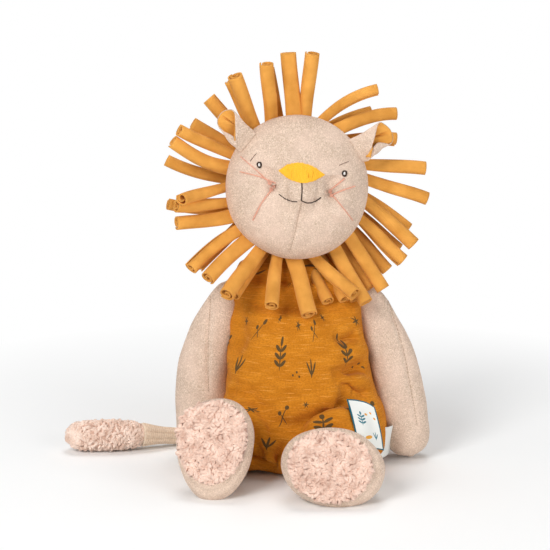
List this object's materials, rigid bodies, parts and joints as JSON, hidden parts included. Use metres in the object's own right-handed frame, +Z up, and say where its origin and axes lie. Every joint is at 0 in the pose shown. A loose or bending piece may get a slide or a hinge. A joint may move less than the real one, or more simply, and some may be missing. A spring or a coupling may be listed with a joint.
{
  "type": "plush lion",
  "caption": "Seated plush lion with a round head in a mane of rolled jersey strips, floppy arms and legs, a stuffed romper body and a tufted tail.",
  "frame": {"origin": "centre of the seat, on the flat underside of the romper where the lion sits", "axes": "+Z is up and the lion faces -Y, so its own left side is at +X"},
  "size_m": [0.236, 0.1488, 0.2603],
  "materials": {
    "beige_velour": "heathered beige velour jersey, soft and matt",
    "mane_jersey": "mustard cotton jersey, plain and matt",
    "romper_jersey": "mustard slub jersey with a small dark print",
    "pink_boucle": "pale pink looped boucle pile",
    "knit_cord": "beige ribbed knit",
    "label_weave": "woven ribbon with a satin-stitched border",
    "care_satin": "thin white satin ribbon"
  },
  "bodies": {
    "body": {"torso": "romper_jersey", "side_label": "label_weave", "care_label": "care_satin"},
    "head": {"head": "beige_velour", "ear_shell_left": "beige_velour", "ear_shell_right": "beige_velour", "ear_lining_left": "mane_jersey", "ear_lining_right": "mane_jersey", "mane_roll_back_01": "mane_jersey", "mane_roll_back_02": "mane_jersey", "mane_roll_back_03": "mane_jersey", "mane_roll_back_04": "mane_jersey", "mane_roll_back_05": "mane_jersey", "mane_roll_back_06": "mane_jersey", "mane_roll_back_07": "mane_jersey", "mane_roll_back_08": "mane_jersey", "mane_roll_back_09": "mane_jersey", "mane_roll_back_10": "mane_jersey", "mane_roll_back_11": "mane_jersey", "mane_roll_back_12": "mane_jersey", "mane_roll_back_13": "mane_jersey", "mane_roll_back_14": "mane_jersey", "mane_roll_back_15": "mane_jersey", "mane_roll_back_16": "mane_jersey", "mane_roll_back_17": "mane_jersey", "mane_roll_front_01": "mane_jersey", "mane_roll_front_02": "mane_jersey", "mane_roll_front_03": "mane_jersey", "mane_roll_front_04": "mane_jersey", "mane_roll_front_05": "mane_jersey", "mane_roll_front_06": "mane_jersey", "mane_roll_front_07": "mane_jersey", "mane_roll_front_08": "mane_jersey", "mane_roll_front_09": "mane_jersey", "mane_roll_front_10": "mane_jersey", "mane_roll_front_11": "mane_jersey", "mane_roll_front_12": "mane_jersey", "mane_roll_front_13": "mane_jersey", "mane_roll_front_14": "mane_jersey", "mane_roll_front_15": "mane_jersey", "mane_roll_front_16": "mane_jersey", "mane_roll_front_17": "mane_jersey", "mane_roll_front_18": "mane_jersey", "mane_roll_front_19": "mane_jersey", "mane_roll_front_20": "mane_jersey", "mane_roll_front_21": "mane_jersey", "mane_roll_front_22": "mane_jersey", "mane_roll_front_23": "mane_jersey"},
    "arm_left": {"arm_left": "beige_velour"},
    "arm_right": {"arm_right": "beige_velour"},
    "leg_left": {"leg_left": "beige_velour", "sole_pad_left": "pink_boucle"},
    "leg_right": {"leg_right": "beige_velour", "sole_pad_right": "pink_boucle"},
    "tail": {"tail_cord": "knit_cord", "tail_tuft": "pink_boucle"}
  },
  "joints": [
    {"name": "neck", "type": "hinge", "parent": "body", "child": "head", "pos_m": [0, 0.02, 0.1365], "axis": [-1, 0, 0], "range_deg": [0, 20]},
    {"name": "shoulder_left", "type": "hinge", "parent": "body", "child": "arm_left", "pos_m": [0.045, 0.012, 0.112], "axis": [0, -1, 0], "range_deg": [0, 60]},
    {"name": "shoulder_right", "type": "hinge", "parent": "body", "child": "arm_right", "pos_m": [-0.045, 0.012, 0.112], "axis": [0, 1, 0], "range_deg": [0, 60]},
    {"name": "hip_left", "type": "hinge", "parent": "body", "child": "leg_left", "pos_m": [0.02, -0.046, 0.0427], "axis": [-1, 0, 0], "range_deg": [0, 45]},
    {"name": "hip_right", "type": "hinge", "parent": "body", "child": "leg_right", "pos_m": [-0.04, -0.046, 0.0427], "axis": [-1, 0, 0], "range_deg": [0, 45]},
    {"name": "tail_root", "type": "hinge", "parent": "body", "child": "tail", "pos_m": [-0.022, 0.036, 0.0054], "axis": [0, 0, -1], "range_deg": [0, 45]}
  ]
}
